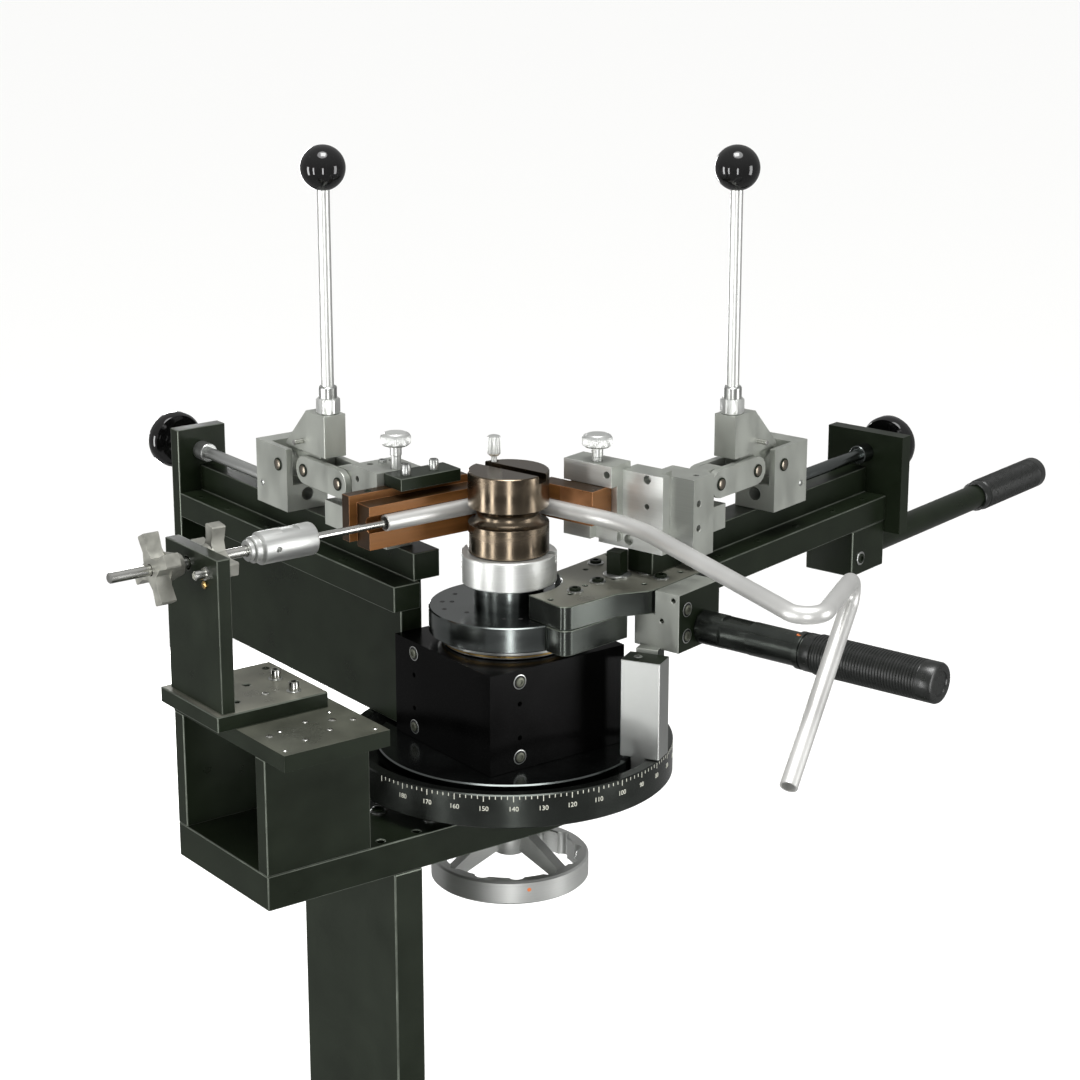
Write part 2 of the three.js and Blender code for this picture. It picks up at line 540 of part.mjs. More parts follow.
function handles(arm) {
  const block = join(
    box(48, 101, -127, -104, 915.7, PLATE_TOP),
    box(48, 101, -105, -85, 915.7, FLANGE.top),
  );
  const tongueBox = box(101, 119, STOP.half + 0.5, STOP.half + 15, 900, 917);
  const stopTongue = tongueBox.rotate([0, 0, STOP.angle - ARM_HEADING]);
  add(arm, 'handle_block', join(block, stopTongue), BRIGHT_STEEL);

  const f = FRONT_HANDLE;
  const bar = rod('y', -(f.end - 6), -f.start, [f.u, f.z], f.r, 20);
  add(arm, 'front_handle', bar, BLACK_STEEL);
  const grip = turned([[f.r + GAP, 0], [f.gripR - 0.8, 0], [f.gripR - 0.8, 9], [f.gripR, 10],
    [f.gripR, f.end - f.grip - 1], [f.gripR - 1, f.end - f.grip], [0, f.end - f.grip],
    [0, f.end - f.grip - 5], [f.r + GAP, f.end - f.grip - 5], [f.r + GAP, 0]], 20);
  add(arm, 'front_grip', grip.rotate([90, 0, 0]).translate([f.u, -f.grip, f.z]), RUBBER);

  const r = REAR_HANDLE;
  add(arm, 'rear_handle_block', box(335, 385, -101, -55, 901, RAIL.bottom - GAP), BLACK_STEEL);
  add(arm, 'rear_handle', rod('x', r.start, r.end - 6, [-r.t, r.z], r.r, 20), BLACK_STEEL);
  const rearGrip = turnedX([[r.r + GAP, r.grip], [r.gripR + 1.2, r.grip], [r.gripR + 1.2, r.grip + 9],
    [r.gripR, r.grip + 10], [r.gripR, r.end - 1], [r.gripR - 1, r.end], [0, r.end], [0, r.end - 5],
    [r.r + GAP, r.end - 5], [r.r + GAP, r.grip]], -r.t, r.z, 20);
  add(arm, 'rear_grip', rearGrip, RUBBER);
}

function swingArm(machine) {
  const arm = new THREE.Group();
  arm.rotation.z = THREE.MathUtils.degToRad(ARM_HEADING);
  machine.add(arm);
  hubAndDie(arm);
  swingPlates(arm);
  lockPin(arm);
  clampRail(arm);
  clampJaw(arm);
  handles(arm);
}

// Workpiece tube --------------------------------------------------------------------------

// Rounds the corners of a route. Each corner is a point and its bend radius.
function roundedRoute(start, corners, end, steps) {
  const route = [start.clone()];
  const all = [start, ...corners.map((corner) => corner.at), end];
  corners.forEach(({ at, r }, i) => {
    const back = all[i].clone().sub(at).normalize();
    const on = all[i + 2].clone().sub(at).normalize();
    const half = back.angleTo(on) / 2;
    const centre = back.clone().add(on).normalize().multiplyScalar(r / Math.sin(half)).add(at);
    const spokeIn = at.clone().addScaledVector(back, r / Math.tan(half)).sub(centre);
    const spokeOut = at.clone().addScaledVector(on, r / Math.tan(half)).sub(centre);
    const axis = spokeIn.clone().cross(spokeOut).normalize();
    const sweep = spokeIn.angleTo(spokeOut);
    for (let k = 0; k <= steps; k += 1) {
      route.push(spokeIn.clone().applyAxisAngle(axis, (sweep * k) / steps).add(centre));
    }
  });
  route.push(end.clone());
  return route;
}

// A hollow tube that passes straight from point to point of its route.
function tube(route, sides) {
  const path = new THREE.CurvePath();
  for (let i = 1; i < route.length; i += 1) path.add(new THREE.LineCurve3(route[i - 1], route[i]));
  const ring = (r, count) => arc(0, 0, r, 0, 360, count).slice(0, count)
    .map(([x, y]) => new THREE.Vector2(x, y));
  const steps = route.length - 1;
  // The route's own points are the section planes, so the path is read by point, not by length.
  path.getPointAt = (u) => route[Math.round(u * steps)].clone();
  path.getTangentAt = (u) => {
    const i = Math.round(u * steps);
    const before = i > 0 ? route[i].clone().sub(route[i - 1]).normalize() : new THREE.Vector3();
    const after = i < steps ? route[i + 1].clone().sub(route[i]).normalize() : new THREE.Vector3();
    return before.add(after).normalize();
  };
  path.getSpacedPoints = () => route.map((point) => point.clone());
  const section = new THREE.Shape(ring(TUBE_R, sides));
  section.holes.push(new THREE.Path(ring(BORE_R, sides).reverse()));
  return solid(new THREE.ExtrudeGeometry(section, { steps, extrudePath: path, bevelEnabled: false }));
}

function workpiece(machine) {
  const wrap = arc(0, 0, BEND_RADIUS, 90, ARM_HEADING, 10)
    .map(([x, y]) => new THREE.Vector3(x, y, TUBE_Z));
  const heading = THREE.MathUtils.degToRad(ARM_HEADING - 90);
  const away = new THREE.Vector3(Math.cos(heading), Math.sin(heading), 0);
  const leave = wrap[wrap.length - 1];
  const corners = [
    { at: leave.clone().addScaledVector(away, 95), r: 150 },
    { at: new THREE.Vector3(3.7, -342.5, TUBE_Z), r: 14 },
    { at: new THREE.Vector3(115.9, -268.7, TUBE_Z + 2), r: 12 },
  ];
  const free = roundedRoute(leave, corners, new THREE.Vector3(-16.3, -343.9, 906), 5);
  add(machine, 'tube_free_end', tube([...wrap, ...free.slice(1)], 12), TUBE_METAL);

  const straight = [-92, -3 * GAP].map((x) => new THREE.Vector3(x, BEND_RADIUS, TUBE_Z));
  add(machine, 'tube_infeed', tube(straight, 12), TUBE_METAL);
}

// Assembly --------------------------------------------------------------------------------

const machine = new THREE.Group();
pedestal(machine);
beamAndRiser(machine);
mandrelBracket(machine);
mandrel(machine);
turret(machine);
dialRing(machine);
lockWheel(machine);
pressureArm(machine);
swingArm(machine);
workpiece(machine);

export default machine;
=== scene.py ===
"""A manual rotary-draw tube bender on its pedestal: surfaces, fasteners, dial marks and a plain studio.

Lengths are millimetres in the machine's frame or an arm's, and spot() and make_object() scale them to
metres. The lamps and the camera are in metres. Angles are degrees up to where math.radians() takes them.
"""

import json
import math

import bmesh
import bpy
from mathutils import Matrix, Vector


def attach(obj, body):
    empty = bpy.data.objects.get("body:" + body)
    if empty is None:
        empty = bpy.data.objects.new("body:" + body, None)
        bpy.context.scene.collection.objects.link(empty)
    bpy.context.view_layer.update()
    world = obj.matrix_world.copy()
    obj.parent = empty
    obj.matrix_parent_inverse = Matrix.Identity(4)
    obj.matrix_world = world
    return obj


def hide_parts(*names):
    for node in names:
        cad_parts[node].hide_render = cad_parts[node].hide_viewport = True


MM = 0.001
BEND_ANGLE = 75.0
BEND_RADIUS = 31.5
TUBE_R, TUBE_BORE_R = 6.35, 5.1
RING_R = 128.0
TURRET_HALF = 63.5
PLATE_THICK = 12.7
PRESSURE_END, CLAMP_END = 380, 398
KNURL_DEPTH = 0.45
FLOOR_REACH = 60000

# Directions about the bend axis, from +X, with the arm at the end of the bend.
ARM_HEADING = 90.0 - BEND_ANGLE
STOP_HEADING = -59.5

# Heights of the centre lines and top faces that details stand on.
BEAM_TOP = 798
RISER_TOP = 900
BRACKET_TOP = 912
FLANGE_TOP = 943
PLATE_TOP = 962
TUBE_Z = 1016.0
TOGGLE_Z = 1022
CARRIER_TOP = 1046
DIE_TOP = 1050.0

# Faces that meet at less than this angle are shaded as one curve.
SHARP = 38

# The frames: the machine's own, and one for each arm with +X out along the arm from the bend axis.
MACHINE = Matrix.Identity(4)
PRESSURE = Matrix.Rotation(math.radians(90), 4, "Z")
CLAMP = Matrix.Rotation(math.radians(ARM_HEADING), 4, "Z")

# The turns that point +Z along another axis.
TURNS = {
    "+z": Matrix.Identity(4),
    "+x": Matrix.Rotation(math.pi / 2, 4, "Y"),
    "-x": Matrix.Rotation(-math.pi / 2, 4, "Y"),
    "+y": Matrix.Rotation(-math.pi / 2, 4, "X"),
    "-y": Matrix.Rotation(math.pi / 2, 4, "X"),
}

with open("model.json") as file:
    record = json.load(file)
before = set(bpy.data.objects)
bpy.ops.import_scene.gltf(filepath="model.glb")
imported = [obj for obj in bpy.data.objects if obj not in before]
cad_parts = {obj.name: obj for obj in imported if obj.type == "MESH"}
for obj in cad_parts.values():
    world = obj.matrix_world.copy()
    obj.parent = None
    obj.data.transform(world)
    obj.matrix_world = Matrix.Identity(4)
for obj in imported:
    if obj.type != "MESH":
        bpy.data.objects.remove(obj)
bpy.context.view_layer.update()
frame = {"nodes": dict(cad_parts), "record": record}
BODY = {node: body for body, nodes in frame["record"]["behaviour"]["bodies"].items() for node in nodes}


# Materials -------------------------------------------------------------------------------


def surface(name, colour, metallic, roughness, tint=0.12, uneven=0.08, grain=(60, 60, 60), bump=0.0,
            specular=0.5):
    """A Principled surface whose colour, roughness and height vary with one noise.

    The tint and the unevenness are how far the colour (as a share) and the roughness swing either way,
    and the grain is the noise's scale per metre along x, y and z.
    """
    material = bpy.data.materials.new(name)
    material.use_nodes = True
    tree = material.node_tree
    shader = tree.nodes["Principled BSDF"]
    shader.inputs["Metallic"].default_value = metallic
    shader.inputs["Specular IOR Level"].default_value = specular
    where = tree.nodes.new("ShaderNodeTexCoord")
    stretch = tree.nodes.new("ShaderNodeMapping")
    stretch.inputs["Scale"].default_value = grain
    tree.links.new(where.outputs["Object"], stretch.inputs["Vector"])
    noise = tree.nodes.new("ShaderNodeTexNoise")
    noise.inputs["Scale"].default_value = 1.0
    noise.inputs["Detail"].default_value = 6.0
    tree.links.new(stretch.outputs["Vector"], noise.inputs["Vector"])
    shade = tree.nodes.new("ShaderNodeMix")
    shade.data_type = "RGBA"
    shade.inputs["A"].default_value = (*[c * (1 - tint) for c in colour], 1)
    shade.inputs["B"].default_value = (*[min(1, c * (1 + tint)) for c in colour], 1)
    tree.links.new(noise.outputs["Fac"], shade.inputs["Factor"])
    tree.links.new(shade.outputs["Result"], shader.inputs["Base Color"])
    gloss = tree.nodes.new("ShaderNodeMapRange")
    gloss.inputs["From Min"].default_value = 0.3
    gloss.inputs["From Max"].default_value = 0.7
    gloss.inputs["To Min"].default_value = max(0.02, roughness - uneven)
    gloss.inputs["To Max"].default_value = roughness + uneven
    tree.links.new(noise.outputs["Fac"], gloss.inputs["Value"])
    tree.links.new(gloss.outputs["Result"], shader.inputs["Roughness"])
    if bump:
        height = tree.nodes.new("ShaderNodeBump")
        height.inputs["Strength"].default_value = bump
        height.inputs["Distance"].default_value = 0.0002
        tree.links.new(noise.outputs["Fac"], height.inputs["Height"])
        tree.links.new(height.outputs["Normal"], shader.inputs["Normal"])
    return material


LOOKS = {
    "oxide": surface("black_oxide", (0.008, 0.012, 0.006), 0.2, 0.34, 0.5, 0.07, (26, 26, 34), 0.02, 0.2),
    "paint": surface("black_paint", (0.008, 0.012, 0.006), 0.0, 0.4, 0.5, 0.1, (22, 22, 22), 0.03, 0.22),
    # A lighter oxide: the plain colour of some screw heads, and a painted sheen on top faces.
    "worn": surface("worn_oxide_and_top_sheen", (0.11, 0.115, 0.09), 0.6, 0.36, 0.55, 0.12, (34, 34, 34), 0.02, 0.3),
    # A lighter oxide painted on top faces: a painted sheen for light falling from above.
    "top_sheen": surface("painted_top_sheen_oxide", (0.2, 0.2, 0.165), 0.6, 0.36, 0.6, 0.12, (34, 34, 34), 0.02, 0.3),
    "pin": surface("toggle_pin", (0.24, 0.21, 0.17), 1.0, 0.3, 0.2, 0.05, (60, 60, 60)),
    "satin": surface("satin_black", (0.06, 0.066, 0.06), 0.95, 0.22, 0.4, 0.05, (30, 30, 30), specular=0.4),
    # A lighter colour for rounded edges: a painted highlight along them.
    "edge": surface("edge_highlight", (0.13, 0.145, 0.12), 0.8, 0.38, 0.5, 0.08, (60, 60, 60)),
    "polished": surface("polished_black", (0.13, 0.142, 0.138), 1.0, 0.2, 0.4, 0.06, (20, 20, 120)),
    "steel": surface("brushed_steel", (0.42, 0.43, 0.415), 0.95, 0.32, 0.1, 0.03, (50, 50, 50)),
    "bright": surface("bright_steel", (0.56, 0.56, 0.53), 1.0, 0.22, 0.08, 0.06, (40, 40, 40)),
    "alloy": surface("machined_alloy", (0.37, 0.385, 0.35), 0.75, 0.4, 0.2, 0.09, (60, 60, 25), 0.02),
    "cast": surface("cast_alloy", (0.31, 0.31, 0.275), 0.75, 0.42, 0.25, 0.1, (160, 160, 160), 0.25),
    "white_alloy": surface("turned_alloy", (0.62, 0.63, 0.61), 0.85, 0.38, 0.08, 0.06, (20, 20, 900), 0.05),
    "black": surface("deep_black_oxide", (0.0015, 0.0015, 0.0015), 0.0, 0.2, 0.5, 0.04, (26, 26, 26),
                     specular=0.06),
    "die": surface("straw_steel", (0.135, 0.108, 0.078), 1.0, 0.24, 0.3, 0.07, (18, 18, 90)),
    "bronze": surface("brown_bronze", (0.17, 0.07, 0.018), 0.5, 0.4, 0.5, 0.1, (14, 14, 200), 0.05, 0.4),
    # A dark bronze painted on top and end faces: painted shade.
    "bronze_shade": surface("shaded_bronze", (0.03, 0.016, 0.006), 0.4, 0.36, 0.5, 0.1, (60, 60, 60), 0.03, 0.3),
    "insert": surface("copper_face", (0.3, 0.14, 0.06), 0.7, 0.35, 0.2, 0.08, (80, 80, 80)),
    "tube": surface("mill_tube", (0.62, 0.62, 0.6), 0.7, 0.4, 0.08, 0.06, (25, 25, 25), 0.02),
    "gloss": surface("gloss_black", (0.004, 0.004, 0.004), 0.0, 0.07, 0.1, 0.02, (40, 40, 40)),
    "rubber": surface("black_rubber", (0.008, 0.009, 0.008), 0.0, 0.3, 0.2, 0.06, (200, 200, 200), 0.05),
    "brass": surface("brass", (0.5, 0.34, 0.13), 1.0, 0.3, 0.15, 0.08, (80, 80, 80)),
    "orange": surface("orange_mark", (0.6, 0.15, 0.03), 0.0, 0.5, 0.1, 0.05, (80, 80, 80)),
    "marks": surface("engraved_marks", (0.5, 0.5, 0.43), 0.0, 0.6, 0.1, 0.05, (300, 300, 300)),
    "dark": surface("shadowed_hole", (0.003, 0.003, 0.003), 0.0, 0.7, 0.1, 0.05, (80, 80, 80)),
}


# Geometry --------------------------------------------------------------------------------


def spot(arm, position, axis="+z", turn=0.0):
    """The place of a detail: its own +Z faces along the axis, at a position in the arm's frame."""
    facing = TURNS[axis] @ Matrix.Rotation(math.radians(turn), 4, "Z")
    return arm @ Matrix.Translation(Vector(position) * MM) @ facing


def hexagonal(radius, angle, _):
    """The radius at an angle of a hexagon whose corners lie on the circle."""
    sixth = math.pi / 3
    return radius * math.cos(sixth / 2) / math.cos(angle % sixth - sixth / 2)


def knurled(radius, _, index):
    return radius if index % 2 else radius - KNURL_DEPTH


SECTIONS = {"round": lambda radius, angle, index: radius, "hex": hexagonal, "knurl": knurled}


def revolve(profile, steps):
    """A turned solid about +Z. A point is (radius, height), or (radius, height, a name in SECTIONS)."""
    verts, faces, rings = [], [], []
    for point in profile:
        radius, height = point[:2]
        section = SECTIONS[point[2] if len(point) > 2 else "round"]
        if radius == 0:
            verts.append((0, 0, height))
            rings.append([len(verts) - 1] * steps)
            continue
        ring = []
        for i in range(steps):
            angle = 2 * math.pi * i / steps
            r = section(radius, angle, i)
            ring.append(len(verts))
            verts.append((r * math.cos(angle), r * math.sin(angle), height))
        rings.append(ring)
    for low, high in zip(rings, rings[1:]):
        for i in range(steps):
            j = (i + 1) % steps
            face = list(dict.fromkeys([low[i], low[j], high[j], high[i]]))
            if len(face) > 2:
                faces.append(face)
    return verts, faces


def rod(r, start, end, steps):
    """A plain cylinder about +Z, used for a cutter or a dark disc."""
    return revolve([(0, start), (r, start), (r, end), (0, end)], steps)


def block(x0, x1, y0, y1, z0, z1):
    verts = [(x, y, z) for x in (x0, x1) for y in (y0, y1) for z in (z0, z1)]
    faces = [(0, 1, 3, 2), (4, 6, 7, 5), (0, 4, 5, 1), (2, 3, 7, 6), (0, 2, 6, 4), (1, 5, 7, 3)]
    return verts, faces


def make_object(name, parts):
    """One object from parts, each (verts, faces) in millimetres with the matrix that places it."""
    bm = bmesh.new()
    for (verts, faces), matrix in parts:
        made = [bm.verts.new(matrix @ (Vector(v) * MM)) for v in verts]
        for face in faces:
            bm.faces.new([made[i] for i in face])
    bmesh.ops.remove_doubles(bm, verts=bm.verts, dist=1e-6)
    bmesh.ops.dissolve_degenerate(bm, edges=bm.edges, dist=1e-7)
    bmesh.ops.recalc_face_normals(bm, faces=bm.faces)
    return object_from(bm, name)


def object_from(bm, name, sharp=SHARP):
    """Uses up the bmesh and links its object."""
    mesh = bpy.data.meshes.new(name)
    bm.to_mesh(mesh)
    bm.free()
    smooth_curves(mesh, sharp)
    made = bpy.data.objects.new(name, mesh)
    bpy.context.scene.collection.objects.link(made)
    return made


def smooth_curves(mesh, sharp=SHARP):
    """Shades curved faces smooth, leaves flat ones flat, and splits the shading at sharp edges."""
    bm = bmesh.new()
    bm.from_mesh(mesh)
    least, most = math.radians(0.5), math.radians(sharp)
    for face in bm.faces:
        face.smooth = any(least < edge.calc_face_angle(0) < most for edge in face.edges)
    for edge in bm.edges:
        edge.smooth = edge.calc_face_angle(math.pi) < most
    bm.to_mesh(mesh)
    bm.free()


def carve(target, tools, operation="DIFFERENCE"):
    """Applies a boolean between the target and one object made of the tools, (shape, place) pairs."""
    cutter = make_object("cutter", tools)
    change = target.modifiers.new("carve", "BOOLEAN")
    change.object = cutter
    change.operation = operation
    change.solver = "EXACT"
    graph = bpy.context.evaluated_depsgraph_get()
    mesh = bpy.data.meshes.new_from_object(target.evaluated_get(graph))
    smooth_curves(mesh)
    target.modifiers.clear()
    target.data = mesh
    bpy.data.objects.remove(cutter)


def soften(piece, width, segments=2, edge=None):
    """Rounds the piece's sharp edges. The rounding can take a second material; the lighter edge look is a
    painted highlight along the edges.
    """
    bevel = piece.modifiers.new("edges", "BEVEL")
    bevel.width = width * MM
    bevel.segments = segments
    bevel.limit_method = "ANGLE"
    bevel.angle_limit = math.radians(42)
    bevel.use_clamp_overlap = True
    if edge:
        piece.data.materials.append(LOOKS[edge])
        bevel.material = 1


def paint(piece, look, arm, axis):
    """Gives another material to the faces that look within about 25 degrees of an axis of the arm. Here it
    paints light and shade by the way a face looks: a lighter sheen or highlight, or a darker shade.
    """
    piece.data.materials.append(LOOKS[look])
    way = (arm @ TURNS[axis]).to_3x3() @ Vector((0, 0, 1))
    for face in piece.data.polygons:
        if face.normal.dot(way) > 0.9:
            face.material_index = len(piece.data.materials) - 1


def stand_for(piece, node, look):
    """The piece takes the CAD node's place and body, with one material slot that holds its look."""
    piece.data.materials.clear()
    piece.data.materials.append(LOOKS[look])
    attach(piece, BODY[node])
    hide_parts(node)


def machined(node, look, width=0.6, holes=(), edge=None, segments=2):
    """The CAD node again, with rounded edges and with holes, (radius, depth, place) each."""
    bm = bmesh.new()
    bm.from_mesh(frame["nodes"][node].data)
    bmesh.ops.remove_doubles(bm, verts=bm.verts, dist=2e-6)
    flat = math.radians(0.8)
    bmesh.ops.dissolve_limit(bm, angle_limit=flat, verts=bm.verts, edges=bm.edges)
    piece = object_from(bm, node + "_surface")
    if holes:
        carve(piece, [(rod(r, -depth, 2, 24), place) for r, depth, place in holes])
    stand_for(piece, node, look)
    soften(piece, width, segments, edge)
    return piece


def lathed(node, look, profile, place, steps, width=0.0, cuts=()):
    """A turned piece, finer than its CAD node, with optional cuts, (shape, place) each."""
    piece = make_object(node + "_surface", [(revolve(profile, steps), place)])
    if cuts:
        carve(piece, cuts)
    stand_for(piece, node, look)
    if width:
        soften(piece, width)
    return piece


details = {}


def detail(body, look, shape, place):
    """Adds a small part to the one object that holds a body's details of one look."""
    details.setdefault((body, look), []).append((shape, place))


def finish_details():
    for (body, look), parts in details.items():
        piece = make_object(f"{body}_{look}_details", parts)
        piece.data.materials.append(LOOKS[look])
        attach(piece, body)


def socket_screw(body, place, r=4.2, tall=3.0, look="oxide", washer=True):
    """A cap screw with a hexagonal socket, and a washer under its head."""
    socket = r * 0.56
    head = [(0, tall * 0.35), (socket, tall * 0.35, "hex"), (socket, tall, "hex"), (r * 0.86, tall),
            (r, tall * 0.86), (r, -0.4), (0, -0.4)]
    detail(body, look, revolve(head, 24), place)
    if washer:
        bore, rim = r * 0.9, r * 1.4
        ring = [(bore, -0.5), (rim, -0.5), (rim, 0.5), (r * 1.3, 0.7), (bore, 0.7), (bore, -0.5)]
        detail(body, "steel", revolve(ring, 32), place)


def sunk_screw(body, place, r, look="steel"):
    """A countersunk or set screw, nearly flush, with a hexagonal socket."""
    socket = r * 0.5
    head = [(0, -1.6), (socket, -1.6, "hex"), (socket, 0.6, "hex"), (r * 0.7, 0.6), (r, 0.1), (r, -0.5),
            (0, -0.5)]
    detail(body, look, revolve(head, 24), place)


def bored_screw(body, place, r=3.7):
    """A socket screw at the bottom of a counterbore: a bright steel rim that paints the highlight on the
    counterbore's edge, a dark disc of painted shade in the gap, and the head.
    """
    rim = [(r + 1.4, -0.4), (r + 2.1, -0.4), (r + 2.1, 0.15), (r + 1.4, 0.25), (r + 1.4, -0.4)]
    detail(body, "steel", revolve(rim, 32), place)
    detail(body, "dark", rod(r + 1.5, 0.08, -0.4, 32), place)
    socket_screw(body, place, r, 1.4, "worn", washer=False)


def pin_end(body, place, r=4.2):
    """The end of a toggle pin: a thin dark ring round a flat bright end."""
    ring = [(r, -0.3), (r + 1.1, -0.3), (r + 1.1, 0.35), (r + 0.9, 0.5), (r, 0.5), (r, -0.3)]
    detail(body, "oxide", revolve(ring, 28), place)
    crown = [(0, 1.3), (r * 0.75, 1.2), (r - 0.1, 0.7), (r - 0.1, -0.3), (0, -0.3)]
    detail(body, "pin", revolve(crown, 28), place)


def hex_bolt(body, place, across, tall):
    r = across / math.sqrt(3) * 1.06
    head = [(0, tall), (r * 0.82, tall), (r, tall * 0.84, "hex"), (r, -0.3, "hex"), (0, -0.3)]
    detail(body, "oxide", revolve(head, 24), place)


# Stand: pedestal, beam, riser and mandrel bracket ----------------------------------------


def stand():
    machined("foot_plate", "paint", 2.0)
    machined("pedestal_post", "paint", 1.2, edge="edge")
    machined("pedestal_rib", "paint", 1.0)
    for x in (-210, 210):
        for y in (-180, 180):
            hex_bolt("stand", spot(MACHINE, (x, y, 16)), 19, 9)

    beam_holes = [(3.2, 12, spot(MACHINE, (x, y, BEAM_TOP)))
                  for x, y in ((-150, 70), (-150, -44), (-118, -44))]
    machined("base_beam", "oxide", 1.2, beam_holes, "edge")
    for x, y in ((-120, 5), (-96, -32), (-86, 34), (-112, 50)):
        socket_screw("stand", spot(MACHINE, (x, y, BEAM_TOP + 0.2)), 4.6, 3.2)

    for wall in ("riser_front_wall", "riser_back_wall"):
        machined(wall, "oxide", 0.8, edge="edge")
    cover = machined("riser_top_plate", "oxide", 0.9, edge="edge")
    # Painted sheen: the cover's top faces get a lighter oxide for light falling on them from above.
    paint(cover, "worn", MACHINE, "+z")
    for x, y, r in ((-186, -38, 3), (-240, -40, 3), (-204, -30, 2.4), (-198, -54, 2.4), (-223, -61, 2.4),
                    (-179, -23, 2), (-173, -46, 2.6), (-229, -36, 2), (-246, -71, 2), (-171, -72, 2)):
        sunk_screw("stand", spot(MACHINE, (x, y, RISER_TOP)), r, "bright")

    bracket = machined("mandrel_bracket_foot", "oxide", 0.8, edge="edge")
    # Painted sheen: the bracket foot's top faces get a lighter oxide.
    paint(bracket, "top_sheen", MACHINE, "+z")
    for x, y in ((-190, 34), (-193, 3)):
        socket_screw("stand", spot(MACHINE, (x, y, BRACKET_TOP)), 3.9, 7.5, "bright")
    sunk_screw("stand", spot(MACHINE, (-213, 10, BRACKET_TOP)), 2.8, "bright")
    for x, y in ((-232, 58), (-184, 58)):
        sunk_screw("stand", spot(MACHINE, (x, y, BRACKET_TOP)), 3.0, "oxide")
    machined("mandrel_bracket_upright", "oxide", 0.8, edge="edge")
    stud = [(0, 10.5), (2.4, 10.5), (3.4, 9.6), (3.4, 2), (5.2, 2, "hex"), (5.2, -0.4, "hex"), (0, -0.4)]
    detail("stand", "bright", revolve(stud, 24), spot(MACHINE, (-262, 3, 1015), "-x"))
    screw = [(0, 1.6), (2.2, 1.6), (3.0, 1.0), (3.0, -0.4), (0, -0.4)]
    detail("stand", "brass", revolve(screw, 24), spot(MACHINE, (-262, 6, 1006), "-x"))


def mandrel():
    for node in ("star_knob_outer", "star_knob_inner"):
        machined(node, "cast", 1.3, segments=3)
    along = spot(MACHINE, (0, BEND_RADIUS, TUBE_Z), "+x")
    bar = [(0, -325), (3, -325), (4, -324), (4, -190), (3, -190), (3, -29), (2.5, -28), (0, -28)]
    lathed("mandrel_rod", "bright", bar, along, 40)
    sleeve = [(4.4, -213), (7.4, -213), (8, -212.4), (8, -209.6), (6.8, -209), (9.4, -209), (10, -208.4),
              (10, -204.6), (9.2, -204), (11.6, -203), (12.4, -202), (12.4, -158.6), (11.6, -157),
              (3.4, -157), (3.4, -187), (4.4, -187), (4.4, -213)]
    flat = (block(-40, 40, 10.5, 20, -185, -170), along @ Matrix.Rotation(math.radians(90), 4, "Z"))
    screw_hole = (rod(2.2, 8, 20, 16), spot(MACHINE, (-192, BEND_RADIUS, TUBE_Z), "-y"))
    lathed("mandrel_coupling", "white_alloy", sleeve, along, 72, 0.3, [flat, screw_hole])


# Turret, dial ring and lock wheel --------------------------------------------------------


def turret():
    under = BEAM_TOP + 0.3
    disc = [(8.5, under), (50, under), (50, 824), (103, 824), (104, 825), (104, 833), (103, 834),
            (8.5, 834), (8.5, under)]
    lathed("turret_disc", "polished", disc, MACHINE, 160)
    holes = [(2.0, 3, spot(MACHINE, (-36, -TURRET_HALF, z), "-y")) for z in (859.7, 886.9)]
    holes += [(2.0, 5, spot(MACHINE, (-TURRET_HALF, 38, z), "-x")) for z in (859.7, 886.9)]
    machined("turret_block", "black", 0.9, holes, "edge")
    for z in (844.3, 904.5):
        bored_screw("stand", spot(MACHINE, (-36, -TURRET_HALF, z), "-y"))
        bored_screw("stand", spot(MACHINE, (-TURRET_HALF, 38, z), "-x"))
        bored_screw("stand", spot(MACHINE, (36, TURRET_HALF, z), "+y"))
    bearing = [(22.6, 914.3), (50.4, 914.3), (51, 915), (51, 917.6), (54.4, 918.3), (55, 919), (55, 922),
               (54.4, 922.7), (22.6, 922.7), (22.6, 914.3)]
    lathed("bearing_ring", "steel", bearing, MACHINE, 128)
    seal = [(51.2, 916.1), (52.4, 916.1), (52.4, 917.5), (51.2, 917.5), (51.2, 916.1)]
    detail("stand", "brass", revolve(seal, 96), MACHINE)


def dial_numeral(value, angle):
    """An upright numeral on the rim of the dial ring, as a thin solid."""
    curve = bpy.data.curves.new(f"numeral_{value}", "FONT")
    curve.body = str(value)
    curve.size = 5.2 * MM
    curve.extrude = 0.12 * MM
    curve.align_x = "CENTER"
    curve.align_y = "CENTER"
    text = bpy.data.objects.new(f"numeral_{value}", curve)
    bpy.context.scene.collection.objects.link(text)
    out = math.radians(angle)
    middle_z = 824.5
    rim = Vector((math.cos(out), math.sin(out), 0)) * (RING_R + 0.05) * MM + Vector((0, 0, middle_z * MM))
    text.matrix_world = (Matrix.Translation(rim) @ Matrix.Rotation(out + math.pi / 2, 4, "Z")
                         @ Matrix.Rotation(math.pi / 2, 4, "X"))
    graph = bpy.context.evaluated_depsgraph_get()
    mesh = bpy.data.meshes.new_from_object(text.evaluated_get(graph))
    mesh.transform(text.matrix_world)
    bpy.data.objects.remove(text)
    return mesh


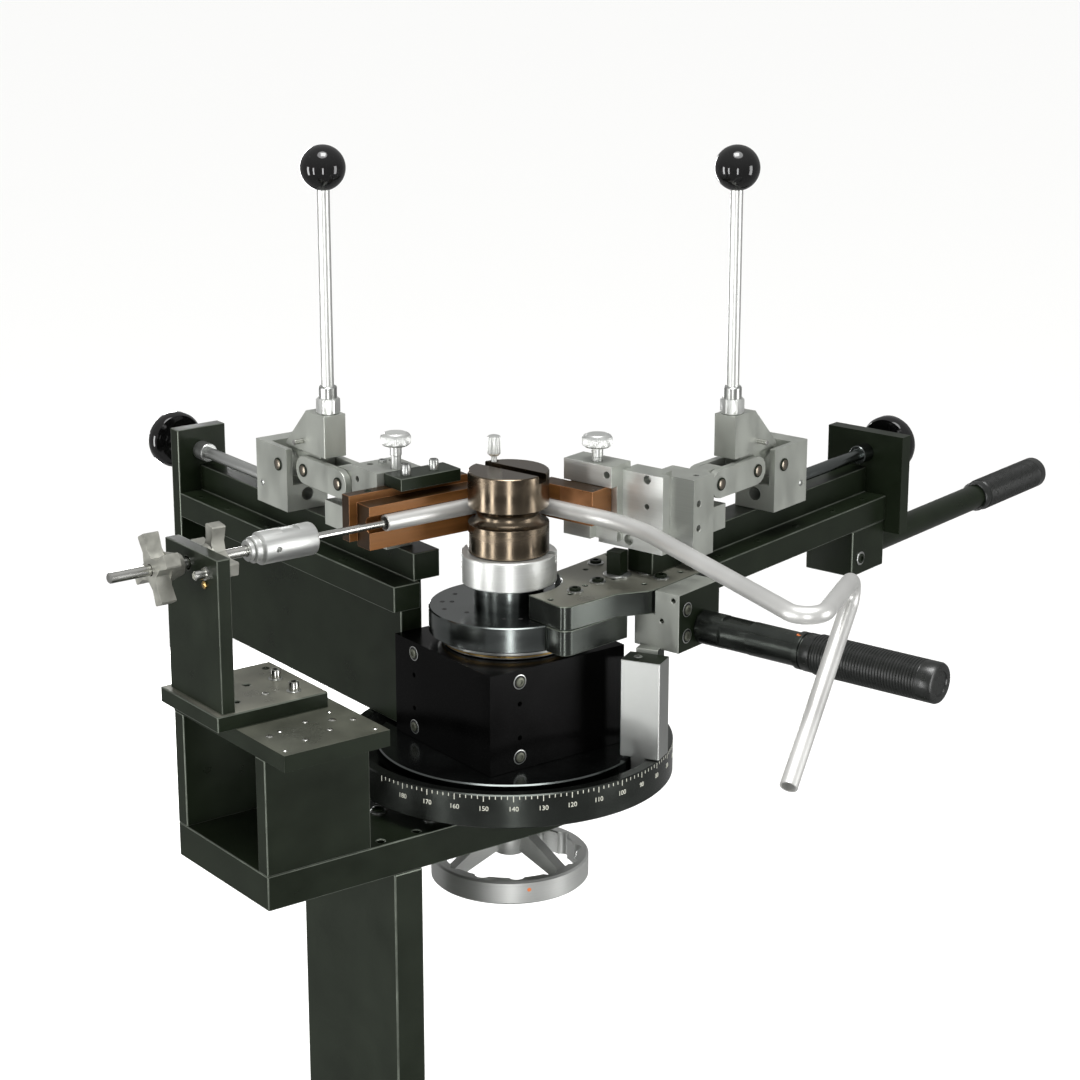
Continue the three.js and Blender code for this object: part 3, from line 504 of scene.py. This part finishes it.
def dial():
    ring = [(52, 809), (127, 809), (128, 810), (128, 834.5), (127, 835.5), (119.3, 835.5), (118.5, 834.7),
            (118.5, 817), (52, 817), (52, 809)]
    lathed("dial_ring", "satin", ring, MACHINE, 220)
    post = machined("angle_stop_post", "steel", 0.8)
    # The post's top takes black oxide, darker than its steel sides: two tones that paint light and shade on
    # one part.
    paint(post, "oxide", MACHINE, "+z")
    start = STOP_HEADING + BEND_ANGLE
    for degree in range(-10, 191, 2):
        low = 832.2 if degree % 10 else 830.2
        place = Matrix.Rotation(math.radians(start - degree), 4, "Z")
        detail("stop_ring", "marks", block(RING_R - 0.3, RING_R + 0.1, -0.3, 0.3, low, 834.6), place)
    meshes = [dial_numeral(degree, start - degree) for degree in range(0, 181, 10)]
    bm = bmesh.new()
    for mesh in meshes:
        bm.from_mesh(mesh)
    numerals = object_from(bm, "dial_numerals", 30)
    numerals.data.materials.append(LOOKS["marks"])
    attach(numerals, "stop_ring")
    post_top = Matrix.Rotation(math.radians(STOP_HEADING), 4, "Z") @ spot(MACHINE, (107, 0, 914))
    sunk_screw("stop_ring", post_top, 3.4)


def lock_wheel():
    """The handwheel, which is a rim with a scalloped bore, a hub and three webs, and its stud."""
    rim = [(52.5, 719), (53.5, 718), (61, 718), (62.5, 719.5), (62.5, 735.5), (61, 737), (53.5, 737),
           (52.5, 736), (52.5, 719)]
    inward = Matrix.Translation((51 * MM, 0, 0))
    dents = [(rod(6.5, 715, 740, 24), Matrix.Rotation(math.radians(30 * i), 4, "Z") @ inward)
             for i in range(12)]
    wheel = make_object("handwheel_surface", [(revolve(rim, 144), MACHINE)])
    carve(wheel, dents)
    hub = [(8.5, 770.7), (8.5, 744.7), (0, 744.7), (0, 738), (12, 738), (13, 739), (16.6, 769.7),
           (16, 770.7), (8.5, 770.7)]
    carve(wheel, [(revolve(hub, 48), MACHINE)], "UNION")
    verts = [(x, y, z) for y in (-5, 5) for x, z in ((11, 742), (54, 721), (54, 730), (13, 761))]
    faces = [(0, 1, 2, 3), (7, 6, 5, 4), (0, 4, 5, 1), (1, 5, 6, 2), (2, 6, 7, 3), (3, 7, 4, 0)]
    for heading in (50, 170, 290):
        carve(wheel, [((verts, faces), Matrix.Rotation(math.radians(heading), 4, "Z"))], "UNION")
    stand_for(wheel, "handwheel", "white_alloy")
    soften(wheel, 0.5)
    lathed("clamp_stud", "bright", [(0, 746.7), (8, 746.7), (8, 831), (7, 832), (0, 832)], MACHINE, 48)
    dot = Matrix.Rotation(math.radians(-112), 4, "Z") @ spot(MACHINE, (62.4, 0, 730), "+x")
    detail("lock_wheel", "orange", revolve([(0, 0.25), (1.6, 0.2), (1.6, -0.3), (0, -0.3)], 16), dot)


# Toggle clamps, drawn in an arm's frame --------------------------------------------------


def toggle(side, arm, pivot, middle, end, reach, screw_look):
    """A rear block, its lever and link, and the lead screw and knob that move them.

    The pivot is the rear block's pin, the middle the toggle's centre plane and the end the end plate's
    outer face, all from the bend axis. The lead screw reaches that far past the end plate.
    """
    for part in ("rear_block", "lever_body", "toggle_link"):
        machined(f"{side}_{part}", "alloy")
    slide_block = f"{side}_slide_block"
    for face, sign in (("+y", 1), ("-y", -1)):
        pin_end(slide_block, spot(arm, (pivot, middle + 19.6 * sign, TOGGLE_Z), face))
        for x in (pivot - 28.5, pivot - 79.5):
            pin_end(f"{side}_link", spot(arm, (x, middle + 13.6 * sign, TOGGLE_Z), face))
        sunk_screw(slide_block, spot(arm, (pivot + 26, middle + 19 * sign, 1001), face), 2.6)
    stop_pin = [(0, 19), (1.6, 19), (2.1, 18.4), (2.1, -18.4), (1.6, -19), (0, -19)]
    detail(f"{side}_lever", "bright", revolve(stop_pin, 20), spot(arm, (pivot - 24, middle, 1045), "+y"))

    lever = spot(arm, (pivot - 47, middle, 0))
    nut_and_rod = [(0, 1071.3), (8.4, 1071.3), (9.6, 1072.2, "hex"), (9.6, 1082.4, "hex"), (8.4, 1083.3),
                   (5, 1083.3), (5, 1264), (0, 1264)]
    lathed(f"{side}_lever_rod", "white_alloy", nut_and_rod, lever, 48)
    collar = [(5, 1083.2), (7.2, 1083.2), (7.2, 1092), (6.4, 1093), (5, 1093), (5, 1083.2)]
    detail(f"{side}_lever", "steel", revolve(collar, 36), lever)
    ball_z, ball_r, arc_steps = 1265.4, 17.8, 40
    lowest = -math.asin(math.sqrt(1 - (5.6 / ball_r) ** 2))
    ball = [(5.4, ball_z)]
    for i in range(arc_steps + 1):
        angle = lowest + (math.pi / 2 - lowest) * i / arc_steps
        r = 0 if i == arc_steps else ball_r * math.cos(angle)
        ball.append((r, ball_z + ball_r * math.sin(angle)))
    lathed(f"{side}_ball_knob", "gloss", [(0, ball_z), *ball], lever, 72)

    along = spot(arm, (0, middle, 997), "+x")
    screw_end = end + reach
    plate = end - PLATE_THICK
    screw = [(0, pivot + 5), (4.4, pivot + 5), (5, pivot + 6), (5, plate - 14), (7.4, plate - 14),
             (8, plate - 13.4), (8, plate - 0.3), (5, plate - 0.3), (5, screw_end - 0.6),
             (4.6, screw_end), (0, screw_end)]
    lathed(f"{side}_lead_screw", screw_look, screw, along, 56)
    disc = screw_end - 3
    knob = [(5.3, end + 3), (8, end + 3), (8.5, end + 3.6), (8.5, disc + 3), (15, disc + 3.6),
            (19.5, disc + 1), (22, disc), (24, disc + 3), (24, disc + 10), (22.4, disc + 13.2),
            (20, disc + 14), (12, disc + 13), (0, disc + 13), (0, disc + 4), (5.3, disc + 4),
            (5.3, end + 3)]
    lathed(f"{side}_screw_knob", "gloss", knob, along, 96)


def thumb_screw(side, arm, x, y, top):
    profile = [(0, top - 40), (4, top - 40), (4, top - 18), (4.6, top - 17.4), (4.6, top - 10.5),
               (9.6, top - 9.8), (11.6, top - 8.2, "knurl"), (11.8, top - 3, "knurl"), (10.6, top - 1.1),
               (8.6, top - 0.5), (8.2, top), (0, top)]
    lathed(f"{side}_thumb_screw", "white_alloy", profile, spot(arm, (x, y, 0)), 120)


# Pressure arm ----------------------------------------------------------------------------


def pressure_arm():
    middle = 60
    machined("pressure_rail_web", "oxide", 1.0, edge="edge")
    machined("pressure_rail", "oxide", 0.8, edge="edge")
    machined("pressure_end_plate", "oxide", 0.9, edge="edge")
    for x in (120, 165, 235, 300, 345):
        sunk_screw("stand", spot(PRESSURE, (x, middle + 14, PLATE_TOP)), 3.4, "oxide")
    for z in (948, 975):
        socket_screw("stand", spot(PRESSURE, (PRESSURE_END + 0.2, middle - 8, z), "+x"))
    toggle("pressure", PRESSURE, 207, middle, PRESSURE_END, 29, "steel")
    holes = [(2.6, 8, spot(PRESSURE, (x, y, CARRIER_TOP)))
             for x, y in ((88, middle - 12), (88, middle + 8), (74, middle - 14))]
    holes += [(2.4, 8, spot(PRESSURE, (x, middle + 20, z), "+y")) for x, z in ((72, 1012), (88, 1036))]
    machined("pressure_jaw_carrier", "alloy", holes=holes)
    low_screw = spot(PRESSURE, (86, middle - 2, CARRIER_TOP + 0.2))
    socket_screw("pressure_jaw", low_screw, 3.4, 2.4, "steel", washer=False)
    thumb_screw("pressure", PRESSURE, 67, middle - 2, 1074)
    die = machined("pressure_die", "bronze", 0.5, edge="insert")
    # Painted shade: the die's top and -x end faces take a dark bronze.
    paint(die, "bronze_shade", MACHINE, "+z")
    paint(die, "bronze_shade", MACHINE, "-x")
    machined("pressure_cap_plate", "oxide", 0.5, edge="edge")
    for y in (36.6, 62):
        socket_screw("pressure_jaw", spot(PRESSURE, (47, y, CARRIER_TOP)), 3.7, 8.0, "steel", washer=False)
    for y in (14, 92):
        sunk_screw("pressure_jaw", spot(PRESSURE, (55, y, 1036)), 3.0, "oxide")


# Swing arm -------------------------------------------------------------------------------


def swing_hub():
    spindle = [(0, 850), (21, 850), (22, 851), (22, 923), (61.2, 923), (62, 923.8), (62, 942.2),
               (61.2, FLANGE_TOP), (27, FLANGE_TOP), (27, PLATE_TOP), (14.7, PLATE_TOP), (14.7, 1035),
               (13.7, 1036), (0, 1036)]
    lathed("spindle", "polished", spindle, CLAMP, 160)
    for x, y in ((-39, 34), (-33, 29.5), (-39, 1), (-25.5, -29), (-15.5, -36.5), (-20, 44), (-48, 18)):
        detail("swing", "dark", rod(1.8, 0.12, -0.4, 20), spot(MACHINE, (x, y, FLANGE_TOP)))
    spacer = [(15, 962.3), (36.2, 962.3), (37, 963.1), (37, 985), (36.3, 985.7), (15, 985.7), (15, 962.3)]
    keyway = (block(24, 40, -4, 4, 978, 990), CLAMP @ Matrix.Rotation(math.radians(-62), 4, "Z"))
    lathed("spacer_ring", "white_alloy", spacer, CLAMP, 128, 0.2, [keyway])

    groove_r = 6.75
    groove = [(BEND_RADIUS + groove_r * math.cos(a), TUBE_Z + groove_r * math.sin(a))
              for a in (math.radians(267 - 174 * i / 16) for i in range(17))]
    rim = BEND_RADIUS - 0.3
    die = [(15, 986), (rim - 0.6, 986), (rim, 986.6), *groove, (rim, DIE_TOP - 0.8), (rim - 0.8, DIE_TOP),
           (0, DIE_TOP), (0, 1038), (15, 1038), (15, 986)]
    pin_place = spot(CLAMP, (12, 24, 0))
    cuts = [(block(-1.7, 8.3, -40, 40, DIE_TOP - 6, DIE_TOP + 2), CLAMP),
            (rod(3.3, 1032, 1060, 20), pin_place)]
    lathed("bend_die", "die", die, CLAMP, 144, 0.25, cuts)
    pin = [(0, 1034), (3, 1034), (3, 1048), (2.2, 1049.5), (2.2, 1054.6), (3.6, 1054.6),
           (5.3, 1056.4, "knurl"), (5.3, 1068.8, "knurl"), (4.6, 1070), (3.4, 1070.5), (0, 1070.5)]
    lathed("die_lock_pin", "white_alloy", pin, pin_place, 64)


def swing_plates():
    drilled = ((-27, -55), (-19, -56), (1, -59), (25, -55), (52, -62), (58, -30), (92, -40), (56, -88),
               (98, -92), (100, -20))
    holes = [(2.0, 8, spot(CLAMP, (x, y, PLATE_TOP))) for x, y in drilled]
    upper = machined("swing_arm_upper_plate", "satin", 0.7, holes, "edge", 3)
    # Painted sheen: the upper plate's top faces get a lighter oxide.
    paint(upper, "top_sheen", CLAMP, "+z")
    machined("swing_arm_lower_plate", "satin", 0.7, edge="edge", segments=3)
    for x, y in ((76, -26), (38.5, -56.7), (9.3, -57.2), (80.7, -72.3), (77, -88.7)):
        socket_screw("swing", spot(CLAMP, (x, y, PLATE_TOP + 0.2)), 4.6, 2.8)
    square_stud = (61.6, -57.8, PLATE_TOP)
    detail("swing", "oxide", block(-6, 6, -6, 6, 0, 20), spot(CLAMP, square_stud, turn=8))
    washer = [(5, 0), (11, 0), (11, 1.2), (10, 1.8), (5, 1.8), (5, 0)]
    detail("swing", "steel", revolve(washer, 40), spot(CLAMP, square_stud))
    machined("clamp_rail", "oxide", 0.8, edge="edge")
    machined("clamp_end_plate", "oxide", 0.9, edge="edge")
    for x in (150, 205, 260, 315, 362):
        sunk_screw("swing", spot(CLAMP, (x, -92, PLATE_TOP + 0.3)), 3.4, "oxide")
    for z in (945, 972):
        socket_screw("swing", spot(CLAMP, (CLAMP_END + 0.2, -70, z), "+x"))


def clamp_jaw():
    toggle("clamp", CLAMP, 229, -80, CLAMP_END, 21, "polished")
    drilled = (("-x", 65, -83, 1041.8, 3.4), ("-x", 65, -83, 1020.5, 2.2), ("-x", 65, -66, 991, 4.2),
               ("-x", 65, -48, 995.5, 2.2), ("-x", 50.3, -55.5, 1044, 2.8), ("-y", 110, -100, 1015.8, 2.7),
               ("-y", 110, -100, 996.1, 2.7), ("+z", 88, -52, 1040, 2.4), ("+z", 117, -92, 1036, 2.4))
    holes = [(r, 7, spot(CLAMP, (x, y, z), axis)) for axis, x, y, z, r in drilled]
    carrier = machined("clamp_jaw_carrier", "alloy", holes=holes)
    # Painted highlight: the carrier's -x faces take the lighter turned alloy.
    paint(carrier, "white_alloy", CLAMP, "-x")
    thumb_screw("clamp", CLAMP, 60, -39, 1072)
    die = machined("clamp_die", "bronze", 0.5, edge="insert")
    # Painted shade: the clamp die's top faces take a dark bronze.
    paint(die, "bronze_shade", CLAMP, "+z")
    detail("clamp_jaw", "insert", block(32.85, 34, -54, -24, 1008, 1033.2), CLAMP)


def handles():
    holes = [(1.8, 5, spot(CLAMP, (48, y, z), "-x")) for y, z in ((-121.2, 957), (-110.6, 938.8))]
    front_block = machined("handle_block", "alloy", 0.8, holes)
    # Painted shade: the block's -y faces take black oxide, darker than its alloy sides.
    paint(front_block, "oxide", CLAMP, "-y")
    for z in (948.7, 927.6):
        bored_screw("swing", spot(CLAMP, (58.5, -127, z), "-y"))
    front = spot(CLAMP, (78, 0, 930.5), "-y")
    bar = [(0, 127.3), (11.6, 127.3), (13, 129), (13, 217), (14.4, 217.6), (14.4, 222), (13, 222.6),
           (13, 331), (0, 331)]
    flats = [(block(-30, 30, 10.8, 20, 150, 175), front @ Matrix.Rotation(math.radians(quarter), 4, "Z"))
             for quarter in (0, 90, 180, 270)]
    lathed("front_handle", "satin", bar, front, 72, 0.3, flats)
    lathed("front_grip", "rubber", grip_profile(13.3, 15.5, 224, 337), front, 72)
    mark = [(0, 0.5), (2.2, 0.4), (2.2, -1), (0, -1)]
    detail("swing", "orange", revolve(mark, 16), spot(CLAMP, (74, -218.5, 943.6)))

    machined("rear_handle_block", "oxide", 0.9, edge="edge")
    socket_screw("swing", spot(CLAMP, (348, -101.2, 915), "-y"), tall=1.6)
    rear = spot(CLAMP, (0, -85, 917.5), "+x")
    lathed("rear_handle", "oxide", [(0, 385.3), (10, 385.3), (11, 386.5), (11, 674), (0, 674)], rear, 64)
    lathed("rear_grip", "rubber", grip_profile(11.3, 14, 568, 680), rear, 72)


def grip_profile(bore, r, start, end):
    """A ribbed grip: a smooth collar, a run of fine ribs and a domed end cap."""
    pitch = 2.5
    profile = [(bore, start), (r - 1.2, start), (r - 0.8, start + 0.6), (r - 0.8, start + 8.4),
               (r - 1.6, start + 9)]
    ribs = int((end - start - 22) / pitch)
    for i in range(ribs):
        z = start + 10 + pitch * i
        profile += [(r - 0.7, z), (r, z + 0.5), (r, z + 1.4), (r - 0.7, z + 1.9)]
    cap = start + 10 + pitch * ribs
    profile += [(r - 0.9, cap), (r, cap + 0.6), (r, end - 2), (r - 0.8, end - 0.5), (r - 2, end),
                (r - 6, end), (r - 6.5, end - 0.8), (0, end - 0.8), (0, end - 5), (bore, end - 5),
                (bore, start)]
    return profile


# Workpiece tube --------------------------------------------------------------------------


def rounded_route(start, corners, end, steps):
    """The route from start to end, with each corner, a point and its bend radius, turned into an arc."""
    route = [start]
    stops = [start, *[at for at, _ in corners], end]
    for i, (at, r) in enumerate(corners):
        back = (stops[i] - at).normalized()
        on = (stops[i + 2] - at).normalized()
        half = back.angle(on) / 2
        centre = at + (back + on).normalized() * (r / math.sin(half))
        spoke_in = at + back * (r / math.tan(half)) - centre
        spoke_out = at + on * (r / math.tan(half)) - centre
        axis = spoke_in.cross(spoke_out).normalized()
        sweep = spoke_in.angle(spoke_out)
        for k in range(steps + 1):
            route.append(centre + Matrix.Rotation(sweep * k / steps, 3, axis) @ spoke_in)
    return [*route, end]


def hollow_tube(route, r_out, r_in, sides=32):
    """A tube wall swept along the route, with flat ends and a section that doesn't twist."""
    verts, faces = [], []
    side = Vector((0, 0, 1))
    for i, point in enumerate(route):
        before = (point - route[i - 1]).normalized() if i else Vector()
        after = (route[i + 1] - point).normalized() if i + 1 < len(route) else Vector()
        ahead = (before + after).normalized()
        side = (side - ahead * side.dot(ahead)).normalized()
        across = ahead.cross(side)
        for r in (r_out, r_in):
            for k in range(sides):
                a = 2 * math.pi * k / sides
                verts.append(point + side * (r * math.cos(a)) + across * (r * math.sin(a)))
    loop = 2 * sides
    last = loop * (len(route) - 1)
    for ring in range(0, last, loop):
        for k in range(sides):
            n = (k + 1) % sides
            for wall, order in ((ring, 1), (ring + sides, -1)):
                faces.append([wall + k, wall + n, wall + n + loop, wall + k + loop][::order])
    for ring in (0, last):
        for k in range(sides):
            n = (k + 1) % sides
            faces.append([ring + k, ring + n, ring + sides + n, ring + sides + k])
    return verts, faces


def workpiece():
    wrap = [Vector((BEND_RADIUS * math.cos(a), BEND_RADIUS * math.sin(a), TUBE_Z))
            for a in (math.radians(90 - BEND_ANGLE * i / 30) for i in range(31))]
    heading = math.radians(ARM_HEADING - 90)
    away = Vector((math.cos(heading), math.sin(heading), 0))
    corners = [
        (wrap[-1] + away * 95, 150),
        (Vector((3.7, -342.5, TUBE_Z)), 14),
        (Vector((115.9, -268.7, TUBE_Z + 2)), 12),
    ]
    free = rounded_route(wrap[-1], corners, Vector((-16.3, -343.9, 906)), 20)
    for node, route in (("tube_free_end", [*wrap, *free[1:]]),
                        ("tube_infeed", [Vector((x, BEND_RADIUS, TUBE_Z)) for x in (-92, -0.9)])):
        piece = make_object(node + "_surface", [(hollow_tube(route, TUBE_R, TUBE_BORE_R), MACHINE)])
        stand_for(piece, node, "tube")


# Studio ----------------------------------------------------------------------------------


def lamp(name, position, target, size, power):
    light = bpy.data.lights.new(name, "AREA")
    light.shape = "RECTANGLE"
    light.size, light.size_y = size
    light.energy = power
    made = bpy.data.objects.new(name, light)
    made.location = position
    made.rotation_euler = (Vector(target) - Vector(position)).to_track_quat("-Z", "Y").to_euler()
    made.visible_camera = False
    bpy.context.scene.collection.objects.link(made)


def studio():
    """A plain pale floor, a grey world that brightens upward, soft lamps and the camera."""
    slab = block(-FLOOR_REACH, FLOOR_REACH, -FLOOR_REACH, FLOOR_REACH, -20, 0)
    floor = make_object("floor", [(slab, MACHINE)])
    pale = bpy.data.materials.new("pale_floor")
    pale.use_nodes = True
    shader = pale.node_tree.nodes["Principled BSDF"]
    shader.inputs["Base Color"].default_value = (0.9, 0.9, 0.89, 1)
    shader.inputs["Roughness"].default_value = 0.8
    floor.data.materials.append(pale)
    floor.visible_glossy = False

    world = bpy.data.worlds.new("studio")
    world.use_nodes = True
    tree = world.node_tree
    background = tree.nodes["Background"]
    where = tree.nodes.new("ShaderNodeTexCoord")
    split = tree.nodes.new("ShaderNodeSeparateXYZ")
    ramp = tree.nodes.new("ShaderNodeValToRGB")
    for element, position, grey in zip(ramp.color_ramp.elements, (0.0, 0.9), (0.42, 0.75)):
        element.position = position
        element.color = (grey, grey, grey, 1)
    tree.links.new(where.outputs["Generated"], split.inputs["Vector"])
    tree.links.new(split.outputs["Z"], ramp.inputs["Fac"])
    tree.links.new(ramp.outputs["Color"], background.inputs["Color"])
    background.inputs["Strength"].default_value = 0.7
    bpy.context.scene.world = world

    sun = bpy.data.lights.new("overhead", "SUN")
    sun.energy = 2.1
    sun.angle = math.radians(40)
    high = bpy.data.objects.new("overhead", sun)
    high.rotation_euler = (math.radians(12), math.radians(-8), 0)
    bpy.context.scene.collection.objects.link(high)

    lamp("top", (-0.2, -0.3, 3.2), (0, 0, 0.95), (0.7, 0.7), 24)
    lamp("left", (-2.5, 1.05, 0.75), (0, 0, 0.85), (0.5, 1.5), 30)
    lamp("near_left", (-2.7, -0.36, 0.75), (0, 0, 0.85), (0.3, 1.5), 20)
    lamp("front", (-1.45, -2.15, 0.75), (0, 0, 0.85), (0.3, 1.5), 20)
    lamp("right", (1.5, -2.1, 0.9), (0, 0, 0.9), (0.7, 1.6), 26)
    lamp("far", (0.9, 2.6, 0.75), (0, 0, 0.9), (0.5, 1.5), 26)

    camera = bpy.data.cameras.new("camera")
    camera.lens = 90
    camera.sensor_width = 36
    camera.clip_start, camera.clip_end = 0.05, 100
    view = bpy.data.objects.new("camera", camera)
    view.location = (-1.1590, -1.6066, 1.5882)
    view.rotation_euler = (math.radians(90 - 16.7), 0, math.radians(-36.5))
    bpy.context.scene.collection.objects.link(view)
    bpy.context.scene.camera = view
    bpy.context.scene.view_settings.view_transform = "Standard"


stand()
mandrel()
turret()
dial()
lock_wheel()
pressure_arm()
swing_hub()
swing_plates()
clamp_jaw()
handles()
workpiece()
finish_details()
studio()
